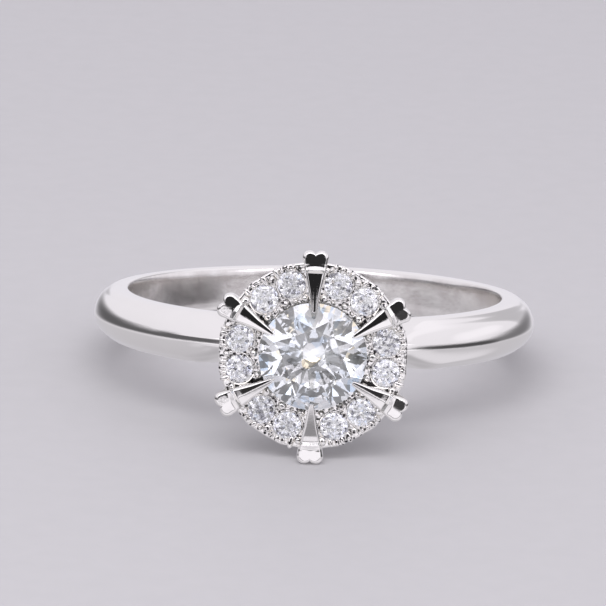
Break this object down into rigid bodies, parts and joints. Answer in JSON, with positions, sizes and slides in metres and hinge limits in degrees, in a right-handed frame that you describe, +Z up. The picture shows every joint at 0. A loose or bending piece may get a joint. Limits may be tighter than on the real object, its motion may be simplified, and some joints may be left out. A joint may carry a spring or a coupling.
{
  "type": "halo ring",
  "caption": "Finger ring with a domed band, a round centre stone in heart-ended claws and a scalloped halo of small round stones.",
  "frame": {"origin": "on the floor, under the middle of the ring's bounding box, with the ring lying on its side as it rests by itself", "axes": "+Z up from the floor, -Y towards the head with its stones, +X along the band's other diameter"},
  "size_m": [0.02, 0.0232, 0.0093],
  "materials": {
    "white_gold": "mirror polished white gold",
    "centre_diamond": "polished facets",
    "small_diamond": "polished facets"
  },
  "bodies": {
    "root": {"mounting": "white_gold", "centre_stone": "centre_diamond", "halo_stone_01": "small_diamond", "halo_stone_02": "small_diamond", "halo_stone_03": "small_diamond", "halo_stone_04": "small_diamond", "halo_stone_05": "small_diamond", "halo_stone_06": "small_diamond", "halo_stone_07": "small_diamond", "halo_stone_08": "small_diamond", "halo_stone_09": "small_diamond", "halo_stone_10": "small_diamond", "halo_stone_11": "small_diamond", "halo_stone_12": "small_diamond"}
  },
  "joints": []
}
